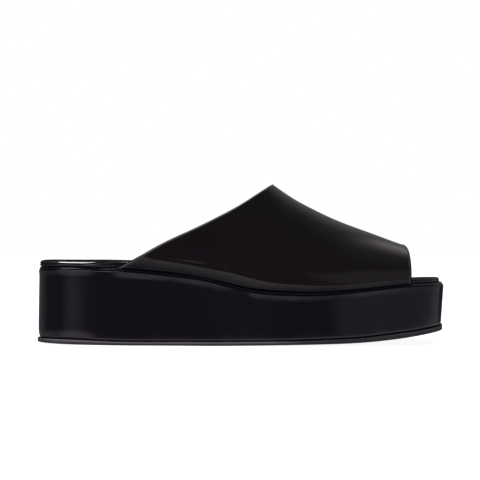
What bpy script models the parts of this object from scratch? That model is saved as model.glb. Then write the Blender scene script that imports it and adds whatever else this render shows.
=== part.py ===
"""Flatform slide sandal for the right foot: outsole, wrapped platform, rand, padded insole and vamp upper.

The toe points along +X, the inner side of the foot is +Y, +Z is up and the sole rests on Z = 0.
The tables and sizes are in millimetres, and MM turns them into metres where the vertices are made.
"from_heel" is the distance along the shoe from the back of the sole.
"""

from functools import lru_cache

import bpy
import numpy as np

MM = 0.001
LENGTH = 264.0

# Plan of the platform at its top edge: half widths on the outer and inner side of the foot.
PLAN_COLUMNS = ("from_heel", "outer", "inner")
PLAN = (
    (1.5, 0.0, 0.0),
    (5.3, 15.8, 15.8),
    (17.0, 28.4, 28.2),
    (38.0, 33.8, 33.4),
    (75.0, 35.6, 32.6),
    (110.0, 38.6, 33.0),
    (145.0, 43.6, 37.4),
    (174.0, 47.3, 43.0),
    (197.0, 46.8, 45.4),
    (224.0, 41.2, 44.4),
    (245.0, 35.4, 40.4),
    (256.5, 29.2, 34.4),
    (262.1, 19.6, 23.6),
    (263.5, 10.4, 12.6),
    (264.0, 0.0, 0.0),
)

# Side view: top of the platform, how far the edge of the footbed stands above it, and the insole's dish.
SIDE_COLUMNS = ("from_heel", "platform_top", "edge_rise", "dish")
SIDE = (
    (0.0, 47.6, 5.4, 0.0),
    (40.0, 47.5, 6.2, 1.6),
    (62.0, 46.4, 7.9, 1.9),
    (84.0, 43.9, 8.9, 2.4),
    (107.0, 40.8, 9.0, 2.6),
    (132.0, 35.8, 8.5, 2.2),
    (150.0, 33.0, 7.4, 1.5),
    (170.0, 31.9, 6.4, 0.9),
    (190.0, 32.6, 5.8, 0.5),
    (212.0, 34.6, 5.1, 0.3),
    (235.0, 37.0, 4.6, 0.1),
    (264.0, 39.1, 4.2, 0.0),
)

# Upper on its last: crest of each cross section, its shift to the inner side, and the power of the arch,
# 1 for an ellipse and less for a squarer section. Behind the peak of the vamp the crest is the leg of the
# last, above the cut of the topline.
LAST_COLUMNS = ("from_heel", "crest", "crest_shift", "arch_power")
LAST = (
    (40.0, 159.0, 0.0, 1.0),
    (70.0, 147.0, 0.5, 1.0),
    (100.0, 132.2, 1.5, 1.0),
    (130.0, 115.8, 2.5, 1.0),
    (153.0, 103.2, 3.0, 1.0),
    (165.0, 95.0, 3.2, 0.98),
    (178.0, 87.7, 3.4, 0.96),
    (191.0, 81.4, 3.6, 0.94),
    (204.0, 76.1, 3.8, 0.92),
    (217.0, 71.4, 4.0, 0.90),
    (230.0, 66.9, 4.2, 0.88),
    (245.0, 61.1, 4.5, 0.86),
)

# Topline in side view: the cut edge of the upper from its tail at the joint up to the peak.
TOPLINE_COLUMNS = ("from_heel", "height")
TOPLINE = (
    (44.0, 48.8),
    (50.0, 49.6),
    (57.0, 51.2),
    (64.0, 54.2),
    (72.0, 58.5),
    (84.0, 65.1),
    (100.0, 72.6),
    (119.0, 82.0),
    (132.0, 89.0),
    (143.0, 96.2),
    (153.0, 103.2),
)

# Edge of the footbed from the joint upwards: share of its height, and distance in from its fullest line.
EDGE_COLUMNS = ("height_share", "set_in")
EDGE = (
    (0.00, 0.50),
    (0.13, 0.14),
    (0.28, 0.00),
    (0.46, 0.35),
    (0.64, 1.00),
    (0.82, 1.80),
    (1.00, 2.70),
)

TOE_SPRING = 9.4
TOE_SPRING_START = 152.0
TOE_SPRING_POWER = 1.8
HEEL_LIFT = 1.1
HEEL_LIFT_END = 26.0

OUTSOLE_THICKNESS = 2.8
OUTSOLE_LIP = 0.9
OUTSOLE_ROUND = 0.7

PLATFORM_HEEL_FLARE = 0.6
PLATFORM_HEEL_FLARE_END = 60.0
PLATFORM_TOE_UNDERCUT = 2.2
PLATFORM_TOE_UNDERCUT_START = 235.0
PLATFORM_SHOULDER = 2.7
PLATFORM_BOTTOM_ROLL = 1.6

SEAT_GAP = 0.3
RAND_THICKNESS = 1.1
RAND_SET_IN = 0.8
RAND_WIDTH = 8.0

EDGE_SET_IN = 0.8
UPPER_WALL = 1.8
UPPER_TO_INSOLE = 0.4
INSOLE_TOE_SET_IN = 1.9
INSOLE_HEEL_SET_OUT = 0.4
INSOLE_EXPOSED_HEEL_END = 24.0
INSOLE_COVERED_START = 43.0
INSOLE_COVERED_END = 243.0
INSOLE_EXPOSED_TOE_START = 251.0
INSOLE_FOOT_TUCK = 0.25
INSOLE_CROWN = 0.35
INSOLE_CROWN_STEPS = ((1.1, 0.7), (2.6, 1.0))
INSOLE_DISH_POWER = 1.5

TOE_EDGE = 240.8
TOE_EDGE_SWEEP = 2.0
TOE_EDGE_POWER = 2.6

# How finely the curves are divided.
PLAN_STEPS = 44
FINE_PLAN_STEPS = 176
PLAN_END_CLOSENESS = 0.6
CAP_END_STEPS = 4
PLAN_TANGENT_SHARE = 0.0001
UPPER_STEPS = 24
ARCH_STEPS = 18
TOPLINE_HALVINGS = 40
INSOLE_TOP_STEPS = 2 * CAP_END_STEPS
OUTSOLE_ROUND_STEPS = 2
ROLL_STEPS = 3
SHOULDER_STEPS = 4
WALL_LEVELS = (0.35, 0.65)

BLACK_PATENT = (0.0045, 0.0042, 0.0050, 1.0)
BLACK_LEATHER = (0.0060, 0.0056, 0.0058, 1.0)
BLACK_RUBBER = (0.0110, 0.0108, 0.0110, 1.0)

# Finish of each piece: its colour, its roughness and how much of a clear coat lies over it.
FINISHES = {
    "outsole_rubber": (BLACK_RUBBER, 0.55, 0.0),
    "platform_patent": (BLACK_PATENT, 0.20, 1.0),
    "rand_leather": (BLACK_PATENT, 0.30, 0.5),
    "insole_leather": (BLACK_LEATHER, 0.35, 0.4),
    "upper_patent": (BLACK_PATENT, 0.20, 1.0),
}


def columns_of(rows, names):
    """The columns of a table, by name."""
    return dict(zip(names, np.array(rows, float).T))


def cubic_through(knots, values, flat_ends=False):
    """A smooth cubic curve through the points, as a function. flat_ends levels it at both ends."""
    knots = np.asarray(knots, float)
    values = np.asarray(values, float)
    spans = np.diff(knots)
    slopes = np.diff(values) / spans
    count = len(knots)
    system = np.eye(count)
    bends = np.zeros(count)
    for i in range(1, count - 1):
        system[i, i - 1 : i + 2] = spans[i - 1], 2 * (spans[i - 1] + spans[i]), spans[i]
        bends[i] = 6 * (slopes[i] - slopes[i - 1])
    if flat_ends:
        system[0, :2] = 2 * spans[0], spans[0]
        system[-1, -2:] = spans[-1], 2 * spans[-1]
        bends[0] = 6 * slopes[0]
        bends[-1] = -6 * slopes[-1]
    curvature = np.linalg.solve(system, bends)

    def value(at):
        at = np.clip(at, knots[0], knots[-1])
        i = np.clip(np.searchsorted(knots, at) - 1, 0, count - 2)
        before = at - knots[i]
        after = knots[i + 1] - at
        span = spans[i]
        bent = (curvature[i] * after**3 + curvature[i + 1] * before**3) / (6 * span)
        low = values[i] / span - curvature[i] * span / 6
        high = values[i + 1] / span - curvature[i + 1] * span / 6
        return bent + low * after + high * before

    return value


def curves_of(rows, names):
    """Each column of a table after the first as a smooth function of the first."""
    table = columns_of(rows, names)
    return {name: cubic_through(table[names[0]], table[name]) for name in names[1:]}


def blend(at, start, end):
    """0 before start, 1 after end, and a soft rise between them."""
    share = np.clip((at - start) / (end - start), 0, 1)
    return share * share * (3 - 2 * share)


side = curves_of(SIDE, SIDE_COLUMNS)
last = curves_of(LAST, LAST_COLUMNS)
topline = curves_of(TOPLINE, TOPLINE_COLUMNS)["height"]
edge = columns_of(EDGE, EDGE_COLUMNS)
JOINT_RISE = SEAT_GAP + RAND_THICKNESS + SEAT_GAP


def plan_curves():
    """The plan as from_heel, outer and inner half width along one length of outline, and that length."""
    plan = columns_of(PLAN, PLAN_COLUMNS)
    half_width = (plan["outer"] + plan["inner"]) / 2
    steps = np.hypot(np.diff(plan["from_heel"]), np.diff(half_width))
    run = np.concatenate([[0], np.cumsum(steps)])
    along = cubic_through(run, plan["from_heel"], flat_ends=True)
    outer = cubic_through(run, plan["outer"])
    inner = cubic_through(run, plan["inner"])
    return along, outer, inner, run[-1]


@lru_cache
def plan_ring(steps):
    """Points and outward normals round the plan, from the heel along the outer side to the toe and back."""
    along, outer, inner, total = plan_curves()
    even = np.arange(steps + 1) / steps
    closer_at_ends = (1 - np.cos(np.pi * even)) / 2
    run = total * (even + PLAN_END_CLOSENESS * (closer_at_ends - even))
    small = total * PLAN_TANGENT_SHARE
    before = np.clip(run - small, 0, total)
    after = np.clip(run + small, 0, total)
    sides = []
    for width, sign in ((outer, -1), (inner, 1)):
        points = np.stack([along(run), sign * width(run)], axis=1)
        tangent = np.stack([along(after) - along(before), sign * (width(after) - width(before))], axis=1)
        tangent /= np.linalg.norm(tangent, axis=1)[:, None]
        normals = np.stack([-sign * tangent[:, 1], sign * tangent[:, 0]], axis=1)
        normals[0] = (-1, 0)
        normals[-1] = (1, 0)
        sides.append((points, normals))
    (outer_points, outer_normals), (inner_points, inner_normals) = sides
    points = np.concatenate([outer_points, inner_points[-2:0:-1]])
    normals = np.concatenate([outer_normals, inner_normals[-2:0:-1]])
    return points, normals


def ring(set_in, height):
    """A closed outline set in from the plan, at a height. Both may be functions of from_heel."""
    points, normals = plan_ring(PLAN_STEPS)
    inward = set_in(points[:, 0]) if callable(set_in) else set_in
    flat = points - normals * np.reshape(inward, (-1, 1))
    rise = height(flat[:, 0]) if callable(height) else np.full(len(flat), height)
    return np.column_stack([flat, rise])


def half_width(from_heel, set_in, sign):
    """Distance from the middle line to the set-in plan, on the outer (-1) or inner (1) side."""
    points, normals = plan_ring(FINE_PLAN_STEPS)
    flat = points - normals * set_in
    picked = flat[np.sign(flat[:, 1]) == sign]
    order = np.argsort(picked[:, 0])
    return np.interp(from_heel, picked[order, 0], np.abs(picked[order, 1]))


def ground(from_heel):
    """Underside of the outsole: flat, with toe spring and a slight lift at the back of the heel."""
    toe = np.clip((from_heel - TOE_SPRING_START) / (LENGTH - TOE_SPRING_START), 0, None)
    heel = np.clip((HEEL_LIFT_END - from_heel) / HEEL_LIFT_END, 0, None)
    return TOE_SPRING * toe**TOE_SPRING_POWER + HEEL_LIFT * heel**2


def platform_bottom(from_heel):
    return ground(from_heel) + OUTSOLE_THICKNESS + SEAT_GAP


def wall_set_in(from_heel, share):
    """Lean of the platform's wall: share 0 at its foot and 1 at its top."""
    heel = -PLATFORM_HEEL_FLARE * (1 - blend(from_heel, 0.0, PLATFORM_HEEL_FLARE_END))
    toe = PLATFORM_TOE_UNDERCUT * blend(from_heel, PLATFORM_TOE_UNDERCUT_START, LENGTH)
    return (1 - share) * (heel + toe)


def joint(from_heel):
    """Where the upper and the insole sit on the rand."""
    return side["platform_top"](from_heel) + JOINT_RISE


def edge_height(from_heel):
    return side["edge_rise"](from_heel) - JOINT_RISE


def plan_middle():
    """Middle of the sole, in length and in width, which is the origin of the shoe."""
    across = plan_ring(FINE_PLAN_STEPS)[0][:, 1]
    return LENGTH / 2, (across.min() + across.max()) / 2, 0


def new_mesh_object(name, vertices, faces, collection):
    """A smooth-shaded object from vertices in millimetres, placed about the middle of the sole."""
    placed = (np.asarray(vertices) - plan_middle()) * MM
    mesh = bpy.data.meshes.new(name)
    mesh.from_pydata(placed.tolist(), [], faces)
    mesh.shade_smooth()
    made = bpy.data.objects.new(name, mesh)
    collection.objects.link(made)
    return made


def wall_faces(count, levels, closed=False):
    """Quads between stacked rings of count points each. closed joins the last ring to the first."""
    faces = []
    for level in range(levels if closed else levels - 1):
        low = level * count
        high = (level + 1) % levels * count
        for i in range(count):
            j = (i + 1) % count
            faces.append((low + i, low + j, high + j, high + i))
    return faces


def strip_faces(behind, ahead):
    """Faces between two rows of as many points each, which may share their ends."""
    faces = []
    for i in range(len(behind) - 1):
        corners = (behind[i], ahead[i], ahead[i + 1], behind[i + 1])
        faces.append(tuple(dict.fromkeys(corners)))
    return faces


def fan_faces(arc):
    """Triangles from the first point of an arc to all its others."""
    return [(arc[0], arc[i], arc[i + 1]) for i in range(1, len(arc) - 1)]


def cap_faces(rows, heel, toe, upward):
    """Faces between rows that cross the shoe, out to the arcs of outline at the heel and the toe."""
    faces = []
    for behind, ahead in zip(rows[:-1], rows[1:]):
        faces += strip_faces(behind, ahead)
    if len(rows[0]) == len(heel):
        faces += strip_faces(heel, rows[0]) + strip_faces(rows[-1], toe)
    else:
        faces += fan_faces(heel[::-1]) + fan_faces(toe)
    return faces if upward else [face[::-1] for face in faces]


def ring_rows(first):
    """Row by row, the two points of a ring across the shoe from each other, and the arcs at both ends."""
    count = 2 * PLAN_STEPS
    end = CAP_END_STEPS
    rows = [(first + k, first + count - k) for k in range(end, PLAN_STEPS - end + 1)]
    heel = [first + k % count for k in range(end, -end - 1, -1)]
    toe = [first + k for k in range(PLAN_STEPS - end, PLAN_STEPS + end + 1)]
    return rows, heel, toe


def stacked(name, rings, collection):
    """A closed solid from outlines stacked upwards, capped at both ends."""
    count = 2 * PLAN_STEPS
    top = (len(rings) - 1) * count
    faces = wall_faces(count, len(rings))
    faces += cap_faces(*ring_rows(0), upward=False)
    faces += cap_faces(*ring_rows(top), upward=True)
    return new_mesh_object(name, np.concatenate(rings), faces, collection)


def quarter_round(steps):
    """Shares (in, up) along a quarter circle from the side of a piece to its top."""
    angles = np.pi / 2 * np.arange(steps + 1) / steps
    return [(1 - np.cos(angle), np.sin(angle)) for angle in angles]


def make_outsole(collection):
    """Thin sheet, a lip wider than the platform, with softened edges."""

    def foot_of_platform(from_heel):
        return wall_set_in(from_heel, 0) - OUTSOLE_LIP

    rings = []
    corner = quarter_round(OUTSOLE_ROUND_STEPS)
    for inward, up in reversed(corner):
        rings.append(
            ring(
                lambda x, i=inward: foot_of_platform(x) + i * OUTSOLE_ROUND,
                lambda x, u=up: ground(x) + (1 - u) * OUTSOLE_ROUND,
            )
        )
    for inward, up in corner:
        rings.append(
            ring(
                lambda x, i=inward: foot_of_platform(x) + i * OUTSOLE_ROUND,
                lambda x, u=up: ground(x) + OUTSOLE_THICKNESS - (1 - u) * OUTSOLE_ROUND,
            )
        )
    return stacked("outsole", rings, collection)


def make_platform(collection):
    """Wrapped core: rolled bottom edge, leaning wall and rounded top shoulder."""

    def wall_ring(share, inward=0.0, from_bottom=None, from_top=None):
        def height(x):
            if from_bottom is not None:
                return platform_bottom(x) + from_bottom
            if from_top is not None:
                return side["platform_top"](x) - from_top
            return platform_bottom(x) + share * (side["platform_top"](x) - platform_bottom(x))

        return ring(lambda x: wall_set_in(x, share) + inward, height)

    rings = []
    for inward, up in reversed(quarter_round(ROLL_STEPS)):
        roll = PLATFORM_BOTTOM_ROLL
        rings.append(wall_ring(0.0, inward * roll, from_bottom=(1 - up) * roll))
    for share in WALL_LEVELS:
        rings.append(wall_ring(share))
    for inward, up in quarter_round(SHOULDER_STEPS):
        shoulder = PLATFORM_SHOULDER
        rings.append(wall_ring(1.0, inward * shoulder, from_top=(1 - up) * shoulder))
    return stacked("platform", rings, collection)


def make_rand(collection):
    """Thin strip with a rounded outer edge, all round the top of the platform."""
    half = RAND_THICKNESS / 2
    outline = [(RAND_WIDTH, 0.0), (half, 0.0), (0.0, half), (half, 2 * half), (RAND_WIDTH, 2 * half)]
    rings = []
    for inward, up in outline:
        rings.append(
            ring(RAND_SET_IN + inward, lambda x, u=up: side["platform_top"](x) + SEAT_GAP + u)
        )
    faces = wall_faces(2 * PLAN_STEPS, len(rings), closed=True)
    return new_mesh_object("rand", np.concatenate(rings), faces, collection)


def insole_set_back(from_heel):
    """How far the insole lies inside the line of the upper: flush at the heel, set in further on."""
    covered = UPPER_WALL + UPPER_TO_INSOLE
    heel = blend(from_heel, INSOLE_EXPOSED_HEEL_END, INSOLE_COVERED_START)
    toe = blend(from_heel, INSOLE_COVERED_END, INSOLE_EXPOSED_TOE_START)
    rear = -INSOLE_HEEL_SET_OUT + (covered + INSOLE_HEEL_SET_OUT) * heel
    return rear + (INSOLE_TOE_SET_IN - covered) * toe


def set_back_edge(height, distance):
    """The edge of the footbed moved inwards, its foot tucked in further, as rows of (set_in, rise)."""
    rise = edge["height_share"] * height
    set_in = edge["set_in"]
    along_in = np.gradient(set_in)
    along_up = np.gradient(rise)
    length = np.hypot(along_in, along_up)
    moved_in = set_in + distance * along_up / length
    moved_up = rise - distance * along_in / length
    moved_in[0] += INSOLE_FOOT_TUCK * distance
    moved_up[0] = 0.0
    return np.column_stack([moved_in, moved_up])


def make_insole(collection):
    """Padded footbed: its base inside the rand, a rounded edge, and a shallow dish for the foot."""
    points, normals = plan_ring(PLAN_STEPS)
    base_in = RAND_SET_IN + RAND_WIDTH + SEAT_GAP - EDGE_SET_IN
    base = [(base_in, SEAT_GAP - JOINT_RISE), (base_in, 0.0)]
    levels = len(base) + len(EDGE) + len(INSOLE_CROWN_STEPS)
    rings = np.zeros((levels, len(points), 3))
    for i, (point, normal) in enumerate(zip(points, normals)):
        profile = set_back_edge(edge_height(point[0]), insole_set_back(point[0]))
        brim_in, brim_up = profile[-1]
        crown = [(brim_in + step, brim_up + share * INSOLE_CROWN) for step, share in INSOLE_CROWN_STEPS]
        for level, (set_in, rise) in enumerate([*base, *profile, *crown]):
            flat = point - normal * (EDGE_SET_IN + set_in)
            rings[level, i] = *flat, joint(flat[0]) + rise
    count = len(points)
    vertices = list(rings.reshape(-1, 3))
    brim = (levels - 1) * count
    rows = []
    across, heel, toe = ring_rows(brim)
    for outer_point, inner_point in across:
        start, end = vertices[outer_point], vertices[inner_point]
        row = [outer_point]
        for step in range(1, INSOLE_TOP_STEPS):
            share = step / INSOLE_TOP_STEPS
            place = start + (end - start) * share
            place[2] -= side["dish"](place[0]) * np.sin(np.pi * share) ** INSOLE_DISH_POWER
            row.append(len(vertices))
            vertices.append(place)
        rows.append([*row, inner_point])
    faces = wall_faces(count, levels)
    faces += cap_faces(*ring_rows(0), upward=False)
    faces += cap_faces(rows, heel, toe, upward=True)
    return new_mesh_object("insole", np.array(vertices), faces, collection)


def band_line(share, set_in, sign):
    """A line of the upper beside the insole, as a function of from_heel."""

    def place(from_heel):
        across = sign * half_width(from_heel, EDGE_SET_IN + set_in, sign)
        return across, joint(from_heel) + share * edge_height(from_heel)

    return place


def arch_line(angle):
    """A line of the upper over the foot. The angle runs from 0 at the outer crease to pi at the inner."""
    sign = -1 if angle < np.pi / 2 else 1

    def place(from_heel):
        crease_in = EDGE_SET_IN + edge["set_in"][-1]
        crease = sign * half_width(from_heel, crease_in, sign)
        base = joint(from_heel) + edge_height(from_heel)
        shift = last["crest_shift"](from_heel)
        power = last["arch_power"](from_heel)
        spread = np.abs(np.cos(angle)) ** power
        lift = np.sin(angle) ** power
        return shift + (crease - shift) * spread, base + (last["crest"](from_heel) - base) * lift

    return place


def topline_start(place):
    """Where a line of the upper meets the topline."""
    behind, ahead = TOPLINE[0][0], TOPLINE[-1][0]
    for _ in range(TOPLINE_HALVINGS):
        middle = (behind + ahead) / 2
        if place(middle)[1] > topline(middle):
            behind = middle
        else:
            ahead = middle
    return ahead


def make_upper(collection):
    """Vamp band: beside the insole, over the foot and down again, cut at the topline and at the toe."""
    lines = [(band_line(*row, -1), 0.0) for row in EDGE]
    for step in range(1, ARCH_STEPS):
        angle = np.pi * step / ARCH_STEPS
        lines.append((arch_line(angle), np.sin(angle) ** TOE_EDGE_POWER))
    lines += [(band_line(*row, 1), 0.0) for row in reversed(EDGE)]
    vertices = []
    for place, lift in lines:
        start = topline_start(place)
        end = TOE_EDGE - TOE_EDGE_SWEEP * lift
        for step in range(UPPER_STEPS + 1):
            from_heel = start + (end - start) * step / UPPER_STEPS
            vertices.append((from_heel, *place(from_heel)))
    row = UPPER_STEPS + 1
    faces = []
    for line in range(len(lines) - 1):
        for step in range(UPPER_STEPS):
            low = line * row + step
            faces.append((low, low + 1, low + row + 1, low + row))
    upper = new_mesh_object("upper", vertices, faces, collection)
    wall = upper.modifiers.new("wall", "SOLIDIFY")
    wall.thickness = UPPER_WALL * MM
    wall.offset = -1
    wall.use_even_offset = True
    return upper


def surface(name):
    """The material of one piece, from the table of finishes."""
    colour, roughness, coat = FINISHES[name]
    material = bpy.data.materials.new(name)
    material.use_nodes = True
    shader = material.node_tree.nodes["Principled BSDF"]
    shader.inputs["Base Color"].default_value = colour
    shader.inputs["Roughness"].default_value = roughness
    shader.inputs["Coat Weight"].default_value = coat
    return material


for old in list(bpy.data.objects):
    bpy.data.objects.remove(old, do_unlink=True)

sandal = bpy.data.collections.new("flatform_sandal")
bpy.context.scene.collection.children.link(sandal)
stand = bpy.data.objects.new("sandal_origin", None)
sandal.objects.link(stand)

PIECES = (
    (make_outsole, "outsole_rubber"),
    (make_platform, "platform_patent"),
    (make_rand, "rand_leather"),
    (make_insole, "insole_leather"),
    (make_upper, "upper_patent"),
)
for make, finish in PIECES:
    piece = make(sandal)
    piece.data.materials.append(surface(finish))
    piece.parent = stand
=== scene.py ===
"""Looks of a black patent flatform slide sandal for the right foot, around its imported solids.

The toe points along +X, the inner side of the foot is +Y and the sole stands on Z = 0. Tables and sizes are
in millimetres, and MM turns them into metres where a mesh is made. "from_heel" is the distance along the
shoe from the back of the sole.
"""

import math
from functools import lru_cache

import bpy
import numpy as np
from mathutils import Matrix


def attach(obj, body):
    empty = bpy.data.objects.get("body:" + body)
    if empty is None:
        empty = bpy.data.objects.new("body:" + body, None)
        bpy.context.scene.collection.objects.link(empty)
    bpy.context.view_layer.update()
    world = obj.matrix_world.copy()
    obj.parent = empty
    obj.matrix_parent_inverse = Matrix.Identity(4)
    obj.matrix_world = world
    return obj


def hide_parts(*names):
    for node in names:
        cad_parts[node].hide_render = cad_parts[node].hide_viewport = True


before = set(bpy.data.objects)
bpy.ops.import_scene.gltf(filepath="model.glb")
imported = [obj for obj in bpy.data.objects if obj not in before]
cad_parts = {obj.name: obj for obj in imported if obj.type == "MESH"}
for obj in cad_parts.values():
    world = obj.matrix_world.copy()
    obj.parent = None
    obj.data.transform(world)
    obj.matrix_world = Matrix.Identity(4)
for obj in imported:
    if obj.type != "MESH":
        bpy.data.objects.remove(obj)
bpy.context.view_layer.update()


# Outsole: a thin sheet of black rubber, cut to the plan of the shoe and cemented under the platform.
# Its edge stands out as a small lip, the toe springs up, and the top of the lip is wheeled with fine ribs.
MM = 0.001
LENGTH = 264.0
PLAN_COLUMNS = ("from_heel", "outer", "inner")
PLAN = (
    (1.5, 0.0, 0.0),
    (5.3, 15.8, 15.8),
    (17.0, 28.4, 28.2),
    (38.0, 33.8, 33.4),
    (75.0, 35.6, 32.6),
    (110.0, 38.6, 33.0),
    (145.0, 43.6, 37.4),
    (174.0, 47.3, 43.0),
    (197.0, 46.8, 45.4),
    (224.0, 41.2, 44.4),
    (245.0, 35.4, 40.4),
    (256.5, 29.2, 34.4),
    (262.1, 19.6, 23.6),
    (263.5, 10.4, 12.6),
    (264.0, 0.0, 0.0),
)
PLAN_TANGENT_SHARE = 0.0001
PLAN_MIDDLE_STEPS = 200
# How the underside lifts: where it starts, how high it ends and how late it rises.
TOE_SPRING = ((112.0, 4.0, 1.25), (196.0, 5.6, 2.0))
HEEL_LIFT = 1.05
HEEL_LIFT_END = 64.0
HEEL_LIFT_POWER = 1.2
HEEL_FLARE = 0.6
HEEL_FLARE_END = 60.0
TOE_UNDERCUT = 1.7
TOE_UNDERCUT_START = 235.0
# How thick the sheet is along the shoe.
OUTSOLE_THICKNESS_COLUMNS = ("from_heel", "thickness")
OUTSOLE_THICKNESS = (
    (0.0, 2.3),
    (6.0, 2.5),
    (14.0, 2.8),
    (32.0, 2.8),
    (50.0, 2.35),
    (95.0, 2.3),
    (150.0, 2.3),
    (172.0, 2.4),
    (190.0, 2.75),
    (208.0, 2.9),
    (233.0, 3.35),
    (245.0, 3.2),
    (264.0, 3.1),
)
OUTSOLE_LIP = 0.9
OUTSOLE_ROUND = 0.14
OUTSOLE_ROUND_SHARE = 0.05
OUTSOLE_STEPS = 960
OUTSOLE_ROUND_STEPS = 4
# How far in from an edge a flat cap starts, so that its shading stays level.
CAP_HOLD = 1.0
# The wheeled ribs start, and are full, at shares of the thickness.
WHEEL_RIBS_PER_SIDE = 240
WHEEL_DEPTH = 0.22
WHEEL_START = 0.46
WHEEL_FULL = 0.71
RUBBER_DARK = (0.015, 0.0136, 0.0163, 1.0)
RUBBER_PALE = (0.021, 0.0191, 0.0225, 1.0)
# A painted highlight: the rubber is painted lighter along the top of the lip, where its ribs catch the light.
RUBBER_PAINTED_HIGHLIGHT = (0.170, 0.156, 0.180, 1.0)
# The painted highlight on the top of the lip rises over shares of the thickness. It fades towards the toe and
# at the back of the heel.
PAINTED_HIGHLIGHT_RISE = (0.3, 0.95)
PAINTED_HIGHLIGHT_FADE = (150.0, 176.0)
PAINTED_HIGHLIGHT_LEFT = 0.14
PAINTED_HIGHLIGHT_BACK = (2.0, 15.0)
PAINTED_HIGHLIGHT_BACK_LEFT = 0.4


def columns_of(rows, names):
    """The columns of a table, by name."""
    return dict(zip(names, np.array(rows, float).T))


def smooth_curve(knots, values, level_ends=False):
    """A smooth cubic curve through the points, as a function. level_ends makes its ends level."""
    knots = np.asarray(knots, float)
    values = np.asarray(values, float)
    spans = np.diff(knots)
    slopes = np.diff(values) / spans
    count = len(knots)
    system = np.eye(count)
    bends = np.zeros(count)
    for i in range(1, count - 1):
        system[i, i - 1 : i + 2] = spans[i - 1], 2 * (spans[i - 1] + spans[i]), spans[i]
        bends[i] = 6 * (slopes[i] - slopes[i - 1])
    if level_ends:
        system[0, :2] = 2 * spans[0], spans[0]
        system[-1, -2:] = spans[-1], 2 * spans[-1]
        bends[0] = 6 * slopes[0]
        bends[-1] = -6 * slopes[-1]
    curvature = np.linalg.solve(system, bends)

    def value(at):
        at = np.clip(at, knots[0], knots[-1])
        i = np.clip(np.searchsorted(knots, at) - 1, 0, count - 2)
        before = at - knots[i]
        after = knots[i + 1] - at
        span = spans[i]
        bent = (curvature[i] * after**3 + curvature[i + 1] * before**3) / (6 * span)
        low = values[i] / span - curvature[i] * span / 6
        high = values[i + 1] / span - curvature[i + 1] * span / 6
        return bent + low * after + high * before

    return value


def curves_of(rows, names):
    """Each column of a table after the first as a smooth function of the first."""
    table = columns_of(rows, names)
    return {name: smooth_curve(table[names[0]], table[name]) for name in names[1:]}


def soft_step(at, start, end):
    """0 before start, 1 after end, and a soft rise between them."""
    share = np.clip((at - start) / (end - start), 0, 1)
    return share * share * (3 - 2 * share)


@lru_cache
def outline(steps):
    """Points and outward normals of the plan, from the heel along the outer side to the toe and back."""
    plan = columns_of(PLAN, PLAN_COLUMNS)
    half = (plan["outer"] + plan["inner"]) / 2
    run = np.concatenate([[0], np.cumsum(np.hypot(np.diff(plan["from_heel"]), np.diff(half)))])
    along = smooth_curve(run, plan["from_heel"], level_ends=True)
    at = run[-1] * np.arange(steps + 1) / steps
    small = run[-1] * PLAN_TANGENT_SHARE
    before = np.clip(at - small, 0, run[-1])
    after = np.clip(at + small, 0, run[-1])
    sides = []
    for name, sign in (("outer", -1), ("inner", 1)):
        width = smooth_curve(run, plan[name])
        points = np.stack([along(at), sign * width(at)], axis=1)
        tangent = np.stack([along(after) - along(before), sign * (width(after) - width(before))], axis=1)
        tangent /= np.linalg.norm(tangent, axis=1)[:, None]
        normals = np.stack([-sign * tangent[:, 1], sign * tangent[:, 0]], axis=1)
        normals[0] = (-1, 0)
        normals[-1] = (1, 0)
        sides.append((points, normals))
    (outer_points, outer_normals), (inner_points, inner_normals) = sides
    points = np.concatenate([outer_points, inner_points[-2:0:-1]])
    normals = np.concatenate([outer_normals, inner_normals[-2:0:-1]])
    return points, normals


plan_across = outline(PLAN_MIDDLE_STEPS)[0][:, 1]
PLAN_MIDDLE = (LENGTH / 2, (plan_across.min() + plan_across.max()) / 2, 0)


def ring(steps, set_in, height):
    """The plan set in by a distance, at a height that is a function of from_heel."""
    points, normals = outline(steps)
    flat = points - normals * np.reshape(set_in, (-1, 1))
    return np.column_stack([flat, height(flat[:, 0])])


def quarter_round(steps):
    """Shares (in, up) along a quarter circle from the side of a piece to its top."""
    angles = np.pi / 2 * np.arange(steps + 1) / steps
    return [(1 - np.cos(angle), np.sin(angle)) for angle in angles]


def strip_faces(behind, ahead):
    """Faces between two rows of as many points each, which may share their ends."""
    faces = []
    for i in range(len(behind) - 1):
        corners = (behind[i], ahead[i], ahead[i + 1], behind[i + 1])
        faces.append(tuple(dict.fromkeys(corners)))
    return faces


def wall_faces(count, levels, closed=False):
    """Quads between stacked rings of count points each. closed joins the last ring to the first."""
    faces = []
    for level in range(levels if closed else levels - 1):
        low = level * count
        high = (level + 1) % levels * count
        for i in range(count):
            j = (i + 1) % count
            faces.append((low + i, low + j, high + j, high + i))
    return faces


def flat_cap(first, count, upward):
    """Faces across a ring, from each point of its outer side to the one straight across the shoe."""
    half = count // 2
    rows = [(first + k, first + count - k) for k in range(1, half)]
    faces = [(first, rows[0][0], rows[0][1]), (rows[-1][0], first + half, rows[-1][1])]
    for behind, ahead in zip(rows[:-1], rows[1:]):
        faces += strip_faces(behind, ahead)
    return faces if upward else [face[::-1] for face in faces]


def capped_faces(count, levels):
    """Faces of stacked rings of count points each, closed by flat caps below and above."""
    faces = wall_faces(count, levels) + flat_cap(0, count, upward=False)
    return faces + flat_cap((levels - 1) * count, count, upward=True)


def new_piece(name, vertices, faces, finish, **marks):
    """A smooth-shaded mesh from vertices in millimetres, set about the middle of the sole.

    Each of marks is stored as a value of every vertex, for the material to read.
    """
    placed = (np.asarray(vertices).reshape(-1, 3) - PLAN_MIDDLE) * MM
    mesh = bpy.data.meshes.new(name)
    mesh.from_pydata(placed.tolist(), [], faces)
    mesh.shade_smooth()
    mesh.materials.append(finish)
    for mark, values in marks.items():
        mesh.attributes.new(mark, "FLOAT", "POINT").data.foreach_set("value", np.ravel(values))
    piece = bpy.data.objects.new(name, mesh)
    bpy.context.scene.collection.objects.link(piece)
    return piece


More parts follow.
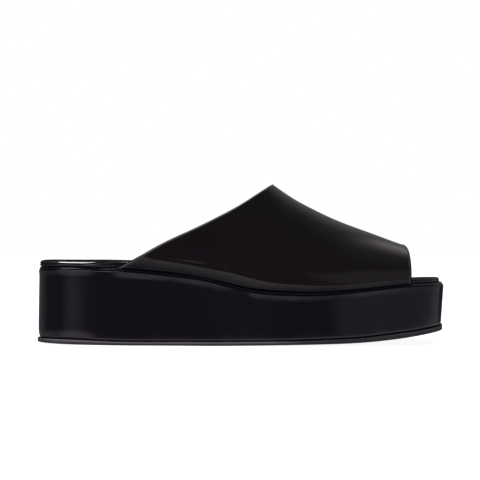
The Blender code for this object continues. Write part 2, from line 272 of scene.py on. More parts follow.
def ground(from_heel):
    """Underside of the outsole: flat, with toe spring and a slight lift at the back of the heel."""
    lift = HEEL_LIFT * np.clip((HEEL_LIFT_END - from_heel) / HEEL_LIFT_END, 0, None) ** HEEL_LIFT_POWER
    for start, height, power in TOE_SPRING:
        lift = lift + height * np.clip((from_heel - start) / (LENGTH - start), 0, None) ** power
    return lift


outsole_thickness = curves_of(OUTSOLE_THICKNESS, OUTSOLE_THICKNESS_COLUMNS)["thickness"]


def wall_set_in(from_heel, share):
    """Lean of the platform's wall: share 0 at its foot and 1 at its top."""
    heel = -HEEL_FLARE * (1 - soft_step(from_heel, 0.0, HEEL_FLARE_END))
    toe = TOE_UNDERCUT * soft_step(from_heel, TOE_UNDERCUT_START, LENGTH)
    return (1 - share) * (heel + toe)


def connect(tree, *links):
    """Links in a node tree, each as (node, its output, node, its input)."""
    for giver, output, taker, target in links:
        tree.links.new(giver.outputs[output], taker.inputs[target])


def set_values(node, values):
    """Fixed values of a node's inputs, by name."""
    for name, value in values.items():
        node.inputs[name].default_value = value


def group_of(name, inputs, outputs):
    """An empty shader node group with named sockets, and its input and output nodes."""
    group = bpy.data.node_groups.new(name, "ShaderNodeTree")
    for socket, kind, default in inputs:
        made = group.interface.new_socket(socket, in_out="INPUT", socket_type=kind)
        made.default_value = default
    for socket, kind in outputs:
        group.interface.new_socket(socket, in_out="OUTPUT", socket_type=kind)
    return group, group.nodes.new("NodeGroupInput"), group.nodes.new("NodeGroupOutput")


def handled_finish():
    """Node group: soft patches of two tones and two roughnesses, as handling leaves on a finish."""
    group, given, out = group_of(
        "handled_finish",
        (
            ("Tone", "NodeSocketColor", (0, 0, 0, 1)),
            ("Other Tone", "NodeSocketColor", (0, 0, 0, 1)),
            ("Roughness", "NodeSocketFloat", 0.1),
            ("Other Roughness", "NodeSocketFloat", 0.2),
            ("Patches", "NodeSocketFloat", 40.0),
        ),
        (("Colour", "NodeSocketColor"), ("Roughness", "NodeSocketFloat")),
    )
    place = group.nodes.new("ShaderNodeTexCoord")
    patches = group.nodes.new("ShaderNodeTexNoise")
    set_values(patches, {"Detail": 3.0})
    share = group.nodes.new("ShaderNodeMapRange")
    set_values(share, {"From Min": 0.35, "From Max": 0.65})
    tone = group.nodes.new("ShaderNodeMix")
    tone.data_type = "RGBA"
    rough = group.nodes.new("ShaderNodeMix")
    connect(
        group,
        (place, "Object", patches, "Vector"),
        (given, "Patches", patches, "Scale"),
        (patches, "Fac", share, "Value"),
        (share, "Result", tone, "Factor"),
        (given, "Tone", tone, "A"),
        (given, "Other Tone", tone, "B"),
        (share, "Result", rough, "Factor"),
        (given, "Roughness", rough, "A"),
        (given, "Other Roughness", rough, "B"),
        (tone, "Result", out, "Colour"),
        (rough, "Result", out, "Roughness"),
    )
    return group


def surface_grain():
    """Node group: height of a pebbled grain with finer pores, for the bump of leather and rubber."""
    group, given, out = group_of(
        "surface_grain",
        (("Pebbles", "NodeSocketFloat", 900.0), ("Pores", "NodeSocketFloat", 2500.0)),
        (("Height", "NodeSocketFloat"),),
    )
    place = group.nodes.new("ShaderNodeTexCoord")
    pebbles = group.nodes.new("ShaderNodeTexVoronoi")
    pebbles.feature = "SMOOTH_F1"
    pores = group.nodes.new("ShaderNodeTexNoise")
    set_values(pores, {"Detail": 4.0})
    both = group.nodes.new("ShaderNodeMath")
    both.operation = "ADD"
    connect(
        group,
        (place, "Object", pebbles, "Vector"),
        (place, "Object", pores, "Vector"),
        (given, "Pebbles", pebbles, "Scale"),
        (given, "Pores", pores, "Scale"),
        (pebbles, "Distance", both, 0),
        (pores, "Fac", both, 1),
        (both, "Value", out, "Height"),
    )
    return group


HANDLED = handled_finish()
GRAIN = surface_grain()


def shader_of(material):
    """The shader that gives a material its finish."""
    return material.node_tree.nodes["Principled BSDF"]


def new_finish(name, tones, roughness, patches, grain, relief, shine):
    """A material with handled tones and a grain.

    Patches mix the pair of tones and the pair of roughnesses. grain is (pebbles, pores) per metre, relief is
    its height in metres, and shine holds fixed values of the shader.
    """
    material = bpy.data.materials.new(name)
    material.use_nodes = True
    nodes, shader = material.node_tree.nodes, shader_of(material)
    set_values(shader, shine)
    handled = nodes.new("ShaderNodeGroup")
    handled.node_tree = HANDLED
    handled_names = ("Tone", "Other Tone", "Roughness", "Other Roughness", "Patches")
    set_values(handled, dict(zip(handled_names, (*tones, *roughness, patches))))
    pebbled = nodes.new("ShaderNodeGroup")
    pebbled.node_tree = GRAIN
    set_values(pebbled, dict(zip(("Pebbles", "Pores"), grain)))
    bump = nodes.new("ShaderNodeBump")
    set_values(bump, {"Distance": relief})
    connect(
        material.node_tree,
        (handled, "Colour", shader, "Base Color"),
        (handled, "Roughness", shader, "Roughness"),
        (pebbled, "Height", bump, "Height"),
        (bump, "Normal", shader, "Normal"),
    )
    return material


def mark_of(material, mark):
    """A node of a material that reads one of its piece's marks."""
    node = material.node_tree.nodes.new("ShaderNodeAttribute")
    node.attribute_name = mark
    return node


outsole_rubber = new_finish(
    "outsole_rubber",
    tones=(RUBBER_DARK, RUBBER_PALE),
    roughness=(0.38, 0.48),
    patches=60.0,
    grain=(1400.0, 4200.0),
    relief=0.00004,
    shine={"Specular IOR Level": 0.35},
)
rubber_shader = shader_of(outsole_rubber)
rubber_tone = rubber_shader.inputs["Base Color"].links[0].from_node
# A painted highlight: the mark lightens the rubber's colour along the top of the lip.
painted_highlight_tone = outsole_rubber.node_tree.nodes.new("ShaderNodeMix")
painted_highlight_tone.data_type = "RGBA"
set_values(painted_highlight_tone, {"B": RUBBER_PAINTED_HIGHLIGHT})
connect(
    outsole_rubber.node_tree,
    (mark_of(outsole_rubber, "burnish"), "Fac", painted_highlight_tone, "Factor"),
    (rubber_tone, "Colour", painted_highlight_tone, "A"),
    (painted_highlight_tone, "Result", rubber_shader, "Base Color"),
)

outsole_profile = [(OUTSOLE_ROUND + CAP_HOLD, 0.0, 0.0)]
for inward, up in reversed(quarter_round(OUTSOLE_ROUND_STEPS)):
    outsole_profile.append((inward * OUTSOLE_ROUND, (1 - up) * OUTSOLE_ROUND_SHARE, 0.0))
for up in (WHEEL_START, (WHEEL_START + WHEEL_FULL) / 2):
    outsole_profile.append((0.0, up, soft_step(up, WHEEL_START, WHEEL_FULL)))
for inward, up in quarter_round(OUTSOLE_ROUND_STEPS):
    outsole_profile.append((inward * OUTSOLE_ROUND, 1 - (1 - up) * OUTSOLE_ROUND_SHARE, 1.0))
outsole_profile.append((OUTSOLE_ROUND + CAP_HOLD, 1.0, 0.0))

foot_line = wall_set_in(outline(OUTSOLE_STEPS)[0][:, 0], 0) - OUTSOLE_LIP
rib_turn = 2 * np.pi * WHEEL_RIBS_PER_SIDE / OUTSOLE_STEPS * np.arange(2 * OUTSOLE_STEPS)
ribs = WHEEL_DEPTH * (1 + np.cos(rib_turn)) / 2
outsole_rings = []
burnish = []
for inward, up, wheeled in outsole_profile:
    outsole_rings.append(
        ring(
            OUTSOLE_STEPS,
            foot_line + inward + wheeled * ribs,
            lambda x, share=up: ground(x) + share * outsole_thickness(x),
        )
    )
    along = outsole_rings[-1][:, 0]
    # How strong the painted highlight is on each ring: full at the top of the lip, weaker towards the toe and
    # at the back of the heel.
    kept = 1 - (1 - PAINTED_HIGHLIGHT_LEFT) * soft_step(along, *PAINTED_HIGHLIGHT_FADE)
    kept *= PAINTED_HIGHLIGHT_BACK_LEFT + (1 - PAINTED_HIGHLIGHT_BACK_LEFT) * soft_step(along, *PAINTED_HIGHLIGHT_BACK)
    burnish.append(kept * soft_step(up, *PAINTED_HIGHLIGHT_RISE))
outsole_faces = capped_faces(2 * OUTSOLE_STEPS, len(outsole_rings))
outsole = new_piece("outsole_sheet", outsole_rings, outsole_faces, outsole_rubber, burnish=burnish)
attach(outsole, "root")
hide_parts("outsole")


# Platform: a thick light core wrapped in black patent leather, which is rolled under at the bottom edge and
# turned over a soft shoulder at the top. It is high at the heel, falls along the waist and runs nearly level
# to the toe.
SIDE_COLUMNS = ("from_heel", "platform_top", "edge_rise", "dish")
SIDE = (
    (0.0, 47.35, 5.8, 0.0),
    (14.0, 47.5, 5.45, 0.7),
    (28.0, 47.45, 5.45, 1.3),
    (38.0, 47.1, 5.8, 1.55),
    (50.0, 46.9, 5.85, 1.75),
    (60.0, 46.45, 6.1, 1.9),
    (70.0, 45.7, 7.1, 2.1),
    (84.0, 44.35, 8.6, 2.4),
    (107.0, 41.35, 8.6, 2.6),
    (118.0, 39.1, 8.7, 2.45),
    (126.0, 36.95, 8.7, 2.3),
    (132.0, 35.35, 8.6, 2.2),
    (139.0, 33.95, 8.2, 1.9),
    (150.0, 32.65, 7.5, 1.5),
    (158.0, 32.3, 7.0, 1.2),
    (170.0, 31.9, 6.4, 0.9),
    (190.0, 32.6, 5.8, 0.5),
    (212.0, 34.6, 5.0, 0.3),
    (228.0, 36.3, 4.1, 0.2),
    (240.0, 37.25, 4.1, 0.1),
    (250.0, 37.6, 4.45, 0.0),
    (258.0, 37.9, 4.5, 0.0),
    (264.0, 38.0, 4.4, 0.0),
)
SEAT_GAP = 0.3
PLATFORM_CORNER = 0.35
PLATFORM_BOTTOM_ROLL = 1.4
PLATFORM_STEPS = 320
PLATFORM_ROUND_STEPS = 6
# Rings of the wall: millimetres above its bottom, shares of its height and millimetres below its top.
WALL_ABOVE_BOTTOM = (1.9, 2.6, 3.4, 4.4, 5.5, 6.6)
WALL_SHARES = (0.34, 0.45, 0.56, 0.67, 0.77)
WALL_BELOW_TOP = (5.2, 4.5, 3.9, 3.3, 2.8, 2.3, 1.8, 1.3, 0.8)
# The turned top edge: how far the wrap stands out at the top, which its tension changes along the shoe.
TURNED_EDGE_HEIGHT = 4.4
TURNED_EDGE_POWER = 1.5
TURNED_EDGE_COLUMNS = ("from_heel", "reach")
TURNED_EDGE = (
    (0.0, 0.36),
    (32.0, 0.40),
    (40.0, 0.22),
    (47.0, 0.02),
    (54.0, 0.32),
    (84.0, 0.34),
    (110.0, 0.34),
    (119.0, 0.26),
    (127.0, 0.15),
    (133.0, 0.02),
    (139.0, 0.25),
    (150.0, 0.28),
    (165.0, 0.28),
    (178.0, 0.24),
    (192.0, 0.20),
    (236.0, 0.20),
    (246.0, 0.08),
    (264.0, 0.05),
)
PLATFORM_BACK_SET_OUT = 0.4
PLATFORM_BACK_END = 12.0
# The foot of the wrap is tucked in, further at the heel than along the sides.
FOOT_TUCK_HEIGHT = 7.4
FOOT_TUCK_HEEL = 0.85
FOOT_TUCK_SIDE = 0.12
FOOT_TUCK_FADE = (24.0, 46.0)
PATENT_VIOLET = (0.0070, 0.0053, 0.0094, 1.0)
PATENT_BLUE = (0.0059, 0.0054, 0.0094, 1.0)
PATENT_ROUGHNESS = (0.30, 0.36)
PATENT_GRAIN = (260.0, 900.0)
PATENT_RELIEF = 0.000004
# Soft unevenness of the wrap: height in millimetres, waves along and up the wall, and where they start.
WRAP_WAVES = (
    (0.030, 1 / 47.0, 1 / 60.0, 0.4),
    (0.018, 1 / 23.0, -1 / 35.0, 1.7),
    (0.010, 1 / 11.0, 1 / 19.0, 2.9),
)

side = curves_of(SIDE, SIDE_COLUMNS)
turned_edge = curves_of(TURNED_EDGE, TURNED_EDGE_COLUMNS)["reach"]


def platform_bottom(from_heel):
    """Underside of the platform, on the outsole."""
    return ground(from_heel) + outsole_thickness(from_heel) + SEAT_GAP


def wrap_unevenness(from_heel, height):
    """How far the wrap stands out from a true surface, in millimetres."""
    total = 0
    for size, along, up, start in WRAP_WAVES:
        total = total + size * np.sin(2 * np.pi * (from_heel * along + height * up) + start)
    return total


def wrap_set_in(from_heel, height):
    """How far the wrap lies in from the plain wall: out at the turned top edge, in at the foot."""
    above = height - platform_bottom(from_heel)
    below = side["platform_top"](from_heel) - height
    turned = turned_edge(from_heel) * np.clip(1 - below / TURNED_EDGE_HEIGHT, 0, 1) ** TURNED_EDGE_POWER
    fade = soft_step(from_heel, *FOOT_TUCK_FADE)
    tuck = FOOT_TUCK_HEEL + (FOOT_TUCK_SIDE - FOOT_TUCK_HEEL) * fade
    foot = tuck * np.clip(1 - above / FOOT_TUCK_HEIGHT, 0, 1) ** 2
    back = PLATFORM_BACK_SET_OUT * (1 - soft_step(from_heel, 0.0, PLATFORM_BACK_END))
    return foot - turned - back - wrap_unevenness(from_heel, height)


def platform_ring(inward=0.0, share=None, above_bottom=None, below_top=None):
    """An outline of the platform, at a share of its wall or at a distance from its bottom or top."""

    def height(x):
        if above_bottom is not None:
            return platform_bottom(x) + above_bottom
        if below_top is not None:
            return side["platform_top"](x) - below_top
        return platform_bottom(x) + share * (side["platform_top"](x) - platform_bottom(x))

    along = outline(PLATFORM_STEPS)[0][:, 0]
    at = height(along)
    of_wall = (at - platform_bottom(along)) / (side["platform_top"](along) - platform_bottom(along))
    set_in = wall_set_in(along, of_wall) + inward + wrap_set_in(along, at)
    return ring(PLATFORM_STEPS, set_in, height)


platform_patent = new_finish(
    "platform_patent",
    tones=(PATENT_VIOLET, PATENT_BLUE),
    roughness=PATENT_ROUGHNESS,
    patches=14.0,
    grain=PATENT_GRAIN,
    relief=PATENT_RELIEF,
    shine={"Specular IOR Level": 0.0, "Coat Weight": 1.0, "Coat Roughness": 0.05},
)

platform_rings = [platform_ring(PLATFORM_BOTTOM_ROLL + CAP_HOLD, above_bottom=0.0)]
for inward, up in reversed(quarter_round(PLATFORM_ROUND_STEPS)):
    roll = PLATFORM_BOTTOM_ROLL
    platform_rings.append(platform_ring(inward * roll, above_bottom=(1 - up) * roll))
platform_rings += [platform_ring(above_bottom=distance) for distance in WALL_ABOVE_BOTTOM]
platform_rings += [platform_ring(share=share) for share in WALL_SHARES]
platform_rings += [platform_ring(below_top=distance) for distance in WALL_BELOW_TOP]
for inward, up in quarter_round(PLATFORM_ROUND_STEPS):
    turn = PLATFORM_CORNER
    platform_rings.append(platform_ring(inward * turn, below_top=(1 - up) * turn))
platform_rings.append(platform_ring(PLATFORM_CORNER + CAP_HOLD, below_top=0.0))
platform_faces = capped_faces(2 * PLATFORM_STEPS, len(platform_rings))
platform = new_piece("platform_wrap", platform_rings, platform_faces, platform_patent)
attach(platform, "root")
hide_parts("platform")


# Rand: a narrow strip of the same leather with a rounded edge, laid between the platform and the footbed.
# From the side it is the fine light line between two dark ones, all round the shoe.
RAND_THICKNESS = 1.1
RAND_WIDTH = 8.0
RAND_ROUND_STEPS = 10
RAND_SHADOW_LINE = 0.16
# How far the strip lies in from the plan, how much its round edge is pressed to a bevel, and its height.
RAND_EDGE_COLUMNS = ("from_heel", "set_in", "bevel", "above_platform")
RAND_EDGE = (
    (0.0, -0.40, 0.0, 0.42),
    (6.0, -0.10, 0.4, 0.43),
    (14.0, 0.22, 1.0, 0.46),
    (30.0, 0.40, 1.0, 0.46),
    (40.0, 0.50, 1.0, 0.46),
    (54.0, 0.58, 1.0, 0.46),
    (64.0, 0.60, 0.0, 0.46),
    (84.0, 0.60, 0.0, 0.46),
    (190.0, 0.65, 0.0, 0.46),
    (222.0, 0.95, 0.0, 0.44),
    (238.0, 0.90, 0.0, 0.34),
    (250.0, 0.70, 0.0, 0.12),
    (264.0, 0.40, 0.0, 0.10),
)
RAND_BEVEL_START = 0.35
RAND_BEVEL_SLOPE = 0.51
RAND_BEVEL_TALLER = 0.3
RAND_GROOVE = 1.0
RAND_BACK_GROOVE = 0.2
RAND_BACK_END = 14.0
RAND_FIT = 0.05


def polish_where_marked(material):
    """A polished coat on a material, only where its piece is marked as glossed."""
    connect(material.node_tree, (mark_of(material, "glossed"), "Fac", shader_of(material), "Coat Weight"))


rand_leather = new_finish(
    "rand_leather",
    tones=(PATENT_VIOLET, PATENT_BLUE),
    roughness=PATENT_ROUGHNESS,
    patches=30.0,
    grain=PATENT_GRAIN,
    relief=PATENT_RELIEF,
    shine={"Specular IOR Level": 0.0, "Coat Roughness": 0.05},
)
polish_where_marked(rand_leather)

rand_edge = curves_of(RAND_EDGE, RAND_EDGE_COLUMNS)
rand_height = RAND_THICKNESS - 2 * RAND_SHADOW_LINE
along = outline(PLATFORM_STEPS)[0][:, 0]
rand_joint = RAND_THICKNESS + 2 * SEAT_GAP
rand_line = rand_edge["set_in"](along)
rand_bevel = rand_edge["bevel"](along)
rand_groove = RAND_BACK_GROOVE + (RAND_GROOVE - RAND_BACK_GROOVE) * soft_step(along, 0.0, RAND_BACK_END)
rand_sections = [(np.full(len(along), RAND_WIDTH), RAND_FIT), (rand_line + rand_groove, RAND_FIT)]
for step in range(RAND_ROUND_STEPS + 1):
    share = step / RAND_ROUND_STEPS
    rounded = rand_height / 2 * (1 - np.sin(np.pi * share))
    if share < RAND_BEVEL_START:
        bevelled = rand_height / 2 * (1 - np.sin(np.pi / 2 * share / RAND_BEVEL_START))
    else:
        bevelled = rand_height * RAND_BEVEL_SLOPE * (1 + RAND_BEVEL_TALLER) * (share - RAND_BEVEL_START)
    lift = rand_edge["above_platform"](along) + share * rand_height * (1 + RAND_BEVEL_TALLER * rand_bevel)
    rand_sections.append((rand_line + rounded + (bevelled - rounded) * rand_bevel, lift))
rand_sections.append((rand_line + rand_groove, rand_joint - RAND_FIT))
rand_sections.append((np.full(len(along), RAND_WIDTH), rand_joint - RAND_FIT))
rand_rings = []
for inward, lift in rand_sections:
    rand_rings.append(ring(PLATFORM_STEPS, inward, lambda x, u=lift: side["platform_top"](x) + u))
rand_faces = wall_faces(len(along), len(rand_rings), closed=True)
# Only the rounded edge is polished; the strip is raw where it lies hidden in the joint.
rand_polish = np.zeros((len(rand_rings), len(along)))
rand_polish[2:-2] = 1.0
rand = new_piece("rand_strip", rand_rings, rand_faces, rand_leather, glossed=rand_polish)
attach(rand, "root")
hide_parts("rand")


# Insole: a padded footbed covered in smooth black leather, with a rounded edge that rises along the arch and
# a shallow dish for the foot. At the heel, where it shows, its cover is drawn in along a seam low on the
# edge.
EDGE_COLUMNS = ("height_share", "set_in")
EDGE = (
    (0.00, 1.90),
    (0.250, 1.80),
    (0.260, 1.30),
    (0.268, 0.80),
    (0.277, 0.38),
    (0.295, 0.22),
    (0.320, 0.13),
    (0.355, 0.05),
    (0.40, 0.00),
    (0.46, 0.02),
    (0.52, 0.12),
    (0.59, 0.34),
    (0.68, 0.68),
    (0.76, 0.99),
    (0.84, 1.32),
    (0.92, 1.68),
    (1.00, 2.14),
)
EDGE_LEVELS = (
    *(0.0, 0.12, 0.235, 0.25, 0.26, 0.268, 0.277, 0.286, 0.295, 0.308, 0.32, 0.338, 0.355, 0.378, 0.40, 0.43),
    *(0.46, 0.49, 0.52, 0.555, 0.59, 0.635, 0.68, 0.72, 0.76, 0.80, 0.84, 0.88, 0.92, 0.96, 1.0),
)
EDGE_UNDERSIDE = (0.262, 0.28)
EDGE_SET_IN = 0.8
UPPER_WALL = 1.8
UPPER_TO_INSOLE = 0.7
JOINT_RISE = SEAT_GAP + RAND_THICKNESS + SEAT_GAP
INSOLE_TOE_SET_IN = 1.9
INSOLE_HEEL_SET_OUT = 0.55
INSOLE_BACK_SET_OUT = 0.55
INSOLE_BACK_END = 14.0
INSOLE_BACK_LEAN = 0.5
INSOLE_TOE_LEAN = 0.2
INSOLE_EXPOSED_HEEL_END = 38.0
INSOLE_COVERED_START = 58.0
INSOLE_COVERED_END = 226.0
INSOLE_EXPOSED_TOE_START = 244.0
# Small dents along the padded edge at the heel: depth in millimetres, length of a wave and where it starts.
EDGE_DENTS = ((0.035, 11.0, 0.6), (0.022, 6.3, 2.1))
EDGE_DENT_RISE = (0.45, 0.9)
INSOLE_CROWN = 0.65
INSOLE_TOE_CROWN = 0.3
INSOLE_INNER_DROP = 1.1
INSOLE_INNER_DROP_SPAN = (234.0, 248.0)
INSOLE_CROWN_STEPS = ((0.5, 0.4), (1.1, 0.7), (1.8, 0.9), (2.6, 1.0))
INSOLE_DISH_POWER = 1.5
INSOLE_STEPS = 260
INSOLE_TOP_STEPS = 26
SEAM_RISE = 2.14
SEAM_CLIMB = 2.9
SEAM_CLIMB_SPAN = (28.0, 60.0)
SEAM_DEPTH = 0.7
SEAM_WIDTH = 0.30
SEAM_LEVELS = (-0.6, -0.42, -0.28, -0.14, 0.0, 0.14, 0.28, 0.42, 0.6)
SEAM_RANGE = (0.02, 0.98)
SEAM_END = (52.0, 64.0)
# Square of how much wider than the seam the dull line along it is.
SEAM_DULL_SPREAD = 4
COVERED_LEAN = 0.12
LEATHER_DARK = (0.0056, 0.0046, 0.0058, 1.0)
LEATHER_WARM = (0.0072, 0.0058, 0.0070, 1.0)

edge_table = columns_of(EDGE, EDGE_COLUMNS)


def joint(from_heel):
    """Where the upper and the insole sit on the rand."""
    return side["platform_top"](from_heel) + JOINT_RISE


def edge_height(from_heel):
    """Height of the insole's edge above the joint."""
    return side["edge_rise"](from_heel) - JOINT_RISE


def insole_set_back(from_heel):
    """How far the insole lies inside the line of the upper: set out at the heel, set in further on."""
    covered = UPPER_WALL + UPPER_TO_INSOLE
    heel = soft_step(from_heel, INSOLE_EXPOSED_HEEL_END, INSOLE_COVERED_START)
    toe = soft_step(from_heel, INSOLE_COVERED_END, INSOLE_EXPOSED_TOE_START)
    rear = -INSOLE_HEEL_SET_OUT + (covered + INSOLE_HEEL_SET_OUT) * heel
    back = -INSOLE_BACK_SET_OUT * (1 - soft_step(from_heel, 0.0, INSOLE_BACK_END))
    return rear + back + (INSOLE_TOE_SET_IN - covered) * toe


def insole_edge(from_heel):
    """Section of the insole's edge at one place, from foot to crown, as rows of (set_in, rise, glossed)."""
    height = edge_height(from_heel)
    seam_rise = SEAM_RISE + SEAM_CLIMB * soft_step(from_heel, *SEAM_CLIMB_SPAN)
    near_seam = np.clip((seam_rise + np.array(SEAM_LEVELS)) / height, *SEAM_RANGE)
    shares = np.sort(np.concatenate([EDGE_LEVELS, near_seam]))
    rise = shares * height
    covered = soft_step(from_heel, INSOLE_EXPOSED_HEEL_END, INSOLE_COVERED_START)
    covered *= 1 - soft_step(from_heel, INSOLE_COVERED_END, INSOLE_EXPOSED_TOE_START)
    back = 1 - soft_step(from_heel, 0.0, INSOLE_BACK_END)
    toe = soft_step(from_heel, INSOLE_COVERED_END, INSOLE_EXPOSED_TOE_START)
    upright = 1 - (1 - COVERED_LEAN) * covered - (1 - INSOLE_BACK_LEAN) * back - (1 - INSOLE_TOE_LEAN) * toe
    set_in = np.interp(shares, *edge_table.values()) * upright + insole_set_back(from_heel)
    seam = SEAM_DEPTH * (1 - soft_step(from_heel, *SEAM_END))
    off_seam = ((rise - seam_rise) / SEAM_WIDTH) ** 2
    set_in += seam * np.exp(-off_seam)
    dull = np.exp(-off_seam / SEAM_DULL_SPREAD) * seam / SEAM_DEPTH
    glossed = soft_step(shares, *EDGE_UNDERSIDE) * (1 - dull)
    for depth, wave, start in EDGE_DENTS:
        dent = depth * np.sin(2 * np.pi * from_heel / wave + start)
        set_in += dent * soft_step(shares, *EDGE_DENT_RISE) * (1 - covered)
    top = INSOLE_CROWN + (INSOLE_TOE_CROWN - INSOLE_CROWN) * toe
    crown = [(set_in[-1] + step, rise[-1] + share * top, 0.0) for step, share in INSOLE_CROWN_STEPS]
    return np.concatenate([np.column_stack([set_in, rise, glossed]), crown])


insole_leather = new_finish(
    "insole_leather",
    tones=(LEATHER_DARK, LEATHER_WARM),
    roughness=(0.34, 0.42),
    patches=25.0,
    grain=(700.0, 2400.0),
    relief=0.000006,
    shine={"Specular IOR Level": 0.05, "Coat Roughness": 0.04},
)
polish_where_marked(insole_leather)

insole_points, insole_normals = outline(INSOLE_STEPS)
insole_count = len(insole_points)
# The base fills the hole inside the rand, with a little room.
base_in = RAND_WIDTH + 3 * SEAT_GAP
insole_columns = []
# The wrapped edge is glossy like the platform. The sock on top, the seam and the hidden underside are dull.
insole_polish = []
for point, normal in zip(insole_points, insole_normals):
    column = []
    for inward, rise in ((base_in, SEAT_GAP - JOINT_RISE), (base_in, 0.0)):
        flat = point - normal * inward
        column.append((*flat, joint(flat[0]) + rise))
    edge = insole_edge(point[0])
    insole_polish.append([0.0, 0.0, *edge[:, 2]])
    for inward, rise, _ in edge:
        flat = point - normal * (EDGE_SET_IN + inward)
        inner_side = np.clip(flat[1] / np.max(insole_points[:, 1]), 0, 1)
        inner_side *= min(rise / edge_height(flat[0]), 1)
        drop = INSOLE_INNER_DROP * soft_step(flat[0], *INSOLE_INNER_DROP_SPAN) * inner_side
        column.append((*flat, joint(flat[0]) + rise - drop))
    insole_columns.append(column)
insole_rings = np.array(insole_columns).transpose(1, 0, 2)
insole_levels = len(insole_rings)
insole_vertices = [tuple(vertex) for vertex in insole_rings.reshape(-1, 3)]
brim = (insole_levels - 1) * insole_count
insole_rows = [[brim] * (INSOLE_TOP_STEPS + 1)]
for k in range(1, INSOLE_STEPS):
    start = np.array(insole_vertices[brim + k])
    end = np.array(insole_vertices[brim + insole_count - k])
    row = [brim + k]
    for step in range(1, INSOLE_TOP_STEPS):
        share = step / INSOLE_TOP_STEPS
        place = start + (end - start) * share
        place[2] -= side["dish"](place[0]) * np.sin(np.pi * share) ** INSOLE_DISH_POWER
        row.append(len(insole_vertices))
        insole_vertices.append(tuple(place))
    insole_rows.append([*row, brim + insole_count - k])
insole_rows.append([brim + INSOLE_STEPS] * (INSOLE_TOP_STEPS + 1))
insole_faces = wall_faces(insole_count, insole_levels)
insole_faces += flat_cap(0, insole_count, upward=False)
for behind, ahead in zip(insole_rows[:-1], insole_rows[1:]):
    insole_faces += [face for face in strip_faces(behind, ahead) if len(face) > 2]
dull_top = np.zeros(len(insole_vertices) - brim - insole_count)
insole_polish = np.concatenate([np.ravel(np.transpose(insole_polish)), dull_top])
insole = new_piece("padded_insole", insole_vertices, insole_faces, insole_leather, glossed=insole_polish)
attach(insole, "root")
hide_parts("insole")


# Upper: one wide vamp of black patent leather, lasted over the instep and drawn down beside the insole into
# the joint. Its topline and its toe edge are folded over, and a crease runs above the margin beside the
# footbed.
LAST_COLUMNS = ("from_heel", "crest", "crest_shift", "arch_power")
LAST = (
    (40.0, 159.0, 0.0, 1.0),
    (70.0, 147.0, 0.5, 1.0),
    (100.0, 132.2, 1.5, 1.0),
    (130.0, 115.8, 2.5, 1.0),
    (153.0, 103.2, 3.0, 1.0),
    (165.0, 95.0, 3.2, 0.98),
    (178.0, 87.7, 3.4, 0.96),
    (191.0, 81.4, 3.6, 0.94),
    (204.0, 76.1, 3.8, 0.92),
    (217.0, 71.4, 4.0, 0.90),
    (230.0, 66.55, 4.2, 0.86),
    (245.0, 61.15, 4.5, 0.755),
)
TOPLINE_COLUMNS = ("from_heel", "height")
TOPLINE = (
    (48.0, 48.2),
    (53.0, 49.1),
    (58.0, 51.2),
    (64.0, 54.4),
    (72.0, 58.95),
    (84.0, 65.5),
    (100.0, 73.0),
    (119.0, 82.4),
    (132.0, 89.7),
    (143.0, 97.0),
    (153.0, 103.9),
)
# The toe edge: where it stands, and how far and how late it sweeps back towards the crest.
TOE_EDGE = 239.85
TOE_EDGE_SWEEP = 0.5
TOE_EDGE_POWER = 2.0
TOPLINE_HALVINGS = 40
# Levels of the margin: from the joint up to its foot (below 0), and from its foot up to the crease.
MARGIN_LEVELS = (
    *(-1.0, -0.7, -0.45, -0.30, -0.22, -0.16, -0.11, -0.07, -0.03, 0.0),
    *(0.02, 0.06, 0.13, 0.22, 0.32, 0.43, 0.54, 0.65, 0.75, 0.83, 0.89, 0.94, 0.98, 1.0),
)
ARCH_STEPS = 84
UPPER_STEPS = 150
UPPER_END_SHARE = 0.75
UPPER_RIM_STEPS = 6
UPPER_LEATHER = 1.25
UPPER_PLAN_STEPS = 400
SHORTEST_RUN = 1e-9
# The crease above the margin: its height over the platform, and how far the margin stands out below it.
CREASE_COLUMNS = ("from_heel", "rise", "step")
CREASE = (
    (48.0, 14.0, 0.0),
    (60.0, 13.0, 0.0),
    (70.6, 11.2, 0.15),
    (78.0, 10.0, 0.45),
    (85.0, 9.5, 0.62),
    (97.0, 9.2, 0.72),
    (107.0, 8.8, 0.72),
    (116.0, 9.0, 0.70),
    (123.0, 9.5, 0.70),
    (129.0, 9.8, 0.70),
    (136.0, 9.5, 0.70),
    (142.0, 8.95, 0.70),
    (148.0, 8.35, 0.70),
    (157.0, 7.65, 0.70),
    (170.0, 7.15, 0.75),
    (183.0, 6.45, 0.75),
    (195.0, 5.9, 0.42),
    (208.0, 5.1, 0.05),
    (221.0, 4.8, 0.0),
    (245.0, 4.6, 0.0),
)
CREASE_BELOW = 0.5
CREASE_ABOVE = 1.0
CREASE_ANGLES = (0.2, 0.4, 0.6, 0.85, 1.2, 1.6)
# The margin leans in towards its foot, less so past the ball, and its foot turns under to meet the rand.
MARGIN_LEAN_COLUMNS = ("from_heel", "lean", "foot")
MARGIN_LEAN = (
    (48.0, 1.0, 0.7),
    (62.0, 1.0, 1.0),
    (75.0, 1.0, 1.2),
    (91.0, 1.0, 1.1),
    (104.0, 1.0, 0.8),
    (111.0, 1.0, 0.65),
    (117.0, 1.0, 0.7),
    (123.0, 1.0, 0.9),
    (130.0, 1.0, 1.2),
    (139.0, 1.0, 1.45),
    (148.0, 1.0, 1.6),
    (160.0, 0.95, 1.4),
    (170.0, 0.9, 1.3),
    (183.0, 0.8, 1.0),
    (196.0, 0.7, 0.8),
    (208.0, 0.65, 0.65),
    (222.0, 0.6, 0.5),
    (245.0, 0.6, 0.45),
)
MARGIN_SLOPES = (0.042, 0.118)
MARGIN_FOOT_ROUND = (0.30, 0.9)
MARGIN_UNDERSIDE = 0.8
